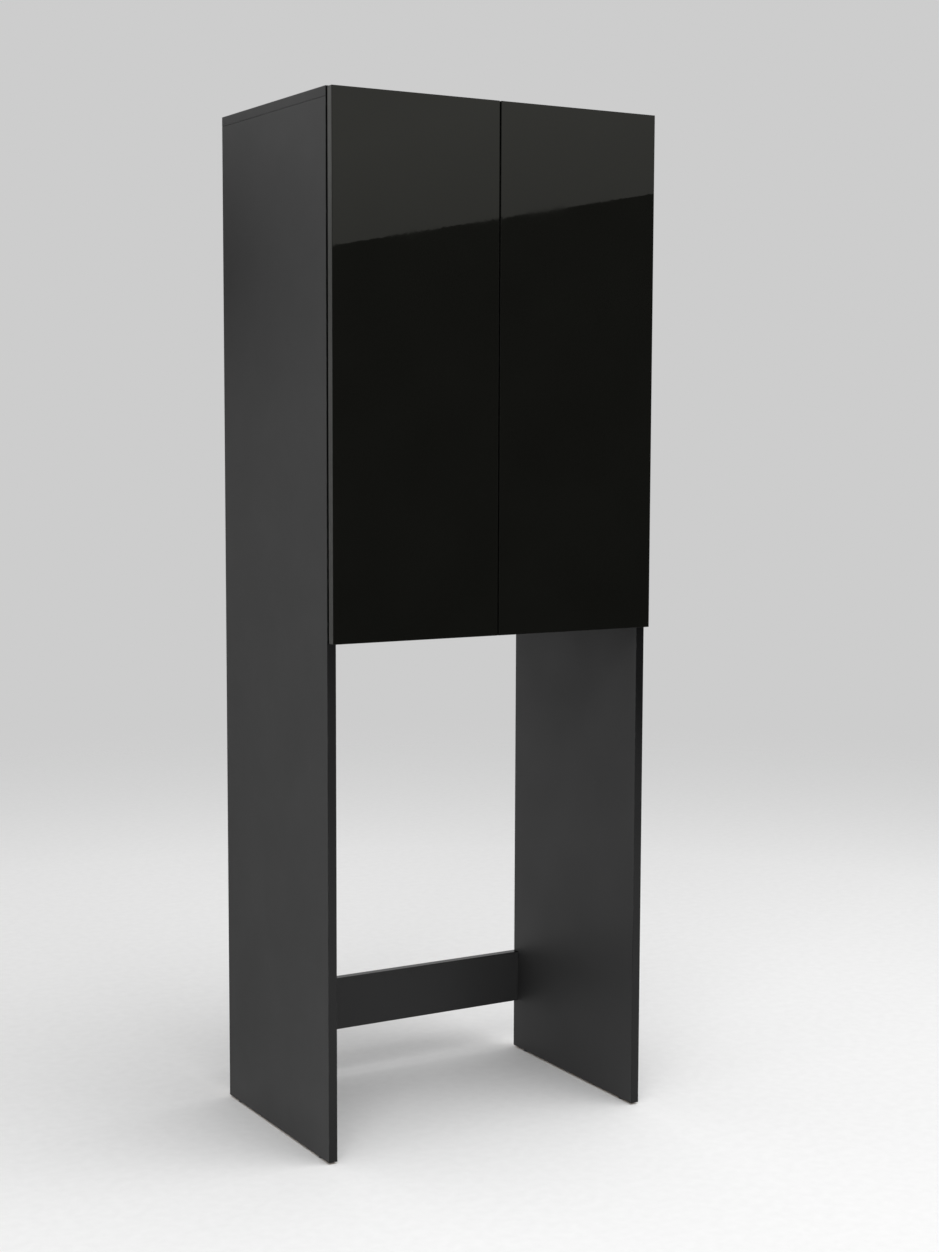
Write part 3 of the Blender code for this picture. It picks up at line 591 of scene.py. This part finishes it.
magnet_grey = fitting_finish("magnet_grey", dark=(0.050, 0.050, 0.052),
                             light=(0.085, 0.085, 0.088), metallic=0.6, smooth=0.45, rough=0.60,
                             grain=0.0004, depth=0.00005)
magnet = cast("magnet", turned(((0, 0), (magnet_radius - magnet_edge, 0),
                                (magnet_radius, -magnet_edge), (magnet_radius, -magnet_depth),
                                (0, -magnet_depth)), turned_sides))
for side in ("left", "right"):
    low, high, middle = middle_of(f"latch_plunger_{side}")
    disc = put(f"latch_magnet_{side}", magnet, magnet_grey)
    disc.location = (middle.x, low.y - magnet_proud, middle.z)
    disc.rotation_euler = (math.radians(90), 0, 0)
    fasten(disc, f"plunger_{side}")


# Floor and surround
# A pale floor that fades into an even light grey, and is clear from below. The rest shows only in
# the shine of the cabinet: dark cloths hang far off on three sides and darken the doors' lower
# part, and a screen behind on the left sets the tone of the left side. A shadow is painted on the
# screen, which darkens the side's reflection towards its top back corner.
surround_grey = (0.61, 0.61, 0.61)
floor_pale = (0.85, 0.85, 0.85)
floor_bright = (0.88, 0.88, 0.88)
floor_mottle = 0.02
floor_radius = 7.0
floor_sides = 96
floor_clear, floor_gone = 2.3, 5.0
cloth_x = 3.0
cloth_front, cloth_back, cloth_near = -7.4, -3.2, -1.0
cloth_gap_left, cloth_gap_right = -0.30, 1.9
cloth_top = 2.17
cloth_mottle = 0.05
cloth_dark = (0.003, 0.003, 0.003)
cloth_light = (0.005, 0.005, 0.005)
hem_top = 2.65
hem_share = 0.20
screen_y = 0.30
screen_left, screen_right = -4.5, -0.33
screen_top = 2.6
screen_dark = (0.68, 0.68, 0.68)
screen_light = (0.72, 0.72, 0.72)
painted_shadow_tone = (0.10, 0.10, 0.10)
painted_shadow_spot = (screen_right, screen_y, 1.55)
painted_shadow_radius = 0.32
hanging_rough = 0.95
lamp_aim = Vector((0, 0, 0.8))

floor_paint = Finish("floor_paint")
away = floor_paint.add("VectorMath", operation="LENGTH")
floor_paint.feed(away.inputs[0], floor_paint.place)
fade = floor_paint.spread(away.outputs["Value"], floor_clear, floor_gone, 0.0, 1.0)
dusty = floor_paint.tones(floor_paint.speckle(floor_mottle, 3.0), (0.3, floor_pale),
                          (0.7, floor_bright))
floor_paint.set(Base_Color=dusty, Roughness=0.9, Specular_IOR_Level=0.1)
beneath = floor_paint.add("NewGeometry").outputs["Backfacing"]
floor_paint.let_through(floor_paint.reckon("MAXIMUM", fade, beneath))
round_floor = bmesh.new()
bmesh.ops.create_circle(round_floor, cap_ends=True, segments=floor_sides, radius=floor_radius)
studio_floor = put("studio_floor", cast("studio_floor", round_floor), floor_paint.material)


def hang(name, corners, material):
    """A flat hanging that only reflections show."""
    sheet = bmesh.new()
    sheet.faces.new([sheet.verts.new(corner) for corner in corners])
    made = put(name, cast(name, sheet), material)
    made.visible_camera = False
    made.visible_diffuse = False
    made.visible_shadow = False
    return made


nap = Finish("cloth_nap")
nap.set(Base_Color=nap.tones(nap.speckle(cloth_mottle), (0.3, cloth_dark), (0.7, cloth_light)),
        Roughness=hanging_rough, Specular_IOR_Level=0.0)
parted = nap.add("SeparateXYZ")
nap.feed(parted.inputs[0], nap.place)
in_hem = nap.reckon("GREATER_THAN", parted.outputs[2], cloth_top)
thin_hem = nap.spread(parted.outputs[2], cloth_top, hem_top, 1 - hem_share, 1.0)
nap.let_through(nap.reckon("MULTIPLY", in_hem, thin_hem))
for name, start, end in (
        ("studio_cloth_right", (cloth_x, cloth_front), (cloth_x, cloth_back)),
        ("studio_cloth_front", (cloth_gap_left, cloth_front), (cloth_gap_right, cloth_front)),
        ("studio_cloth_left", (-cloth_x, cloth_near), (-cloth_x, cloth_front))):
    hang(name, ((*start, 0), (*end, 0), (*end, hem_top), (*start, hem_top)),
                       nap.material)

weft = Finish("screen_weft")
woven = weft.tones(weft.speckle(cloth_mottle), (0.3, screen_dark), (0.7, screen_light))
# Painted shadow: near a spot beside the cabinet's top back corner the screen is painted darker, so
# that the left side reflects a shade there.
off = weft.add("VectorMath", operation="DISTANCE")
weft.feed(off.inputs[0], weft.place)
weft.feed(off.inputs[1], painted_shadow_spot)
clear = weft.spread(off.outputs["Value"], 0.0, painted_shadow_radius, 0.0, 1.0)
weft.set(Base_Color=weft.blend(clear, painted_shadow_tone, woven), Roughness=hanging_rough,
         Specular_IOR_Level=0.0)
studio_screen = hang("studio_screen", (
    (screen_left, screen_y, 0), (screen_right, screen_y, 0), (screen_right, screen_y, screen_top),
    (screen_left, screen_y, screen_top)), weft.material)

surround = bpy.data.worlds.new("surround")
bpy.context.scene.world = surround
surround.use_nodes = True
surround.node_tree.nodes["Background"].inputs["Color"].default_value = (*surround_grey, 1)
surround.node_tree.nodes["Background"].inputs["Strength"].default_value = 1.0

for name, spot, size, power in (("lamp_left", (-2.2, -2.6, 3.2), 1.2, 25),
                                ("lamp_above", (0.6, -1.2, 4.6), 3.2, 115)):
    light = bpy.data.lights.new(name, "AREA")
    light.size = size
    light.energy = power
    lamp = put(name, light)
    lamp.location = spot
    lamp.rotation_euler = (lamp_aim - Vector(spot)).to_track_quat("-Z", "Y").to_euler()


# View
# From eye height, three and a half metres away and to the left of the front. The lens and the
# turn were found from the cabinet's own straight edges.
eye = Vector((-1.8284, -3.2390, 1.2579))
heading, pitch, roll = math.radians(30.372), math.radians(5.652), 0.00356
lens_length, film_width = 59.03, 36
nearest_seen, farthest_seen = 0.05, 60

ahead = Vector((math.sin(heading) * math.cos(pitch), math.cos(heading) * math.cos(pitch),
                -math.sin(pitch)))
level_way = Vector((math.cos(heading), -math.sin(heading), 0))
upright = level_way.cross(ahead)
across = level_way * math.cos(roll) + upright * math.sin(roll)
upward = upright * math.cos(roll) - level_way * math.sin(roll)
lens = bpy.data.cameras.new("camera")
lens.lens = lens_length
lens.sensor_width = film_width
lens.clip_start, lens.clip_end = nearest_seen, farthest_seen
camera = put("camera", lens)
turn = Matrix((across, upward, -ahead)).transposed()
camera.matrix_world = Matrix.Translation(eye) @ turn.to_4x4()
bpy.context.scene.camera = camera
bpy.context.scene.view_settings.view_transform = "Standard"
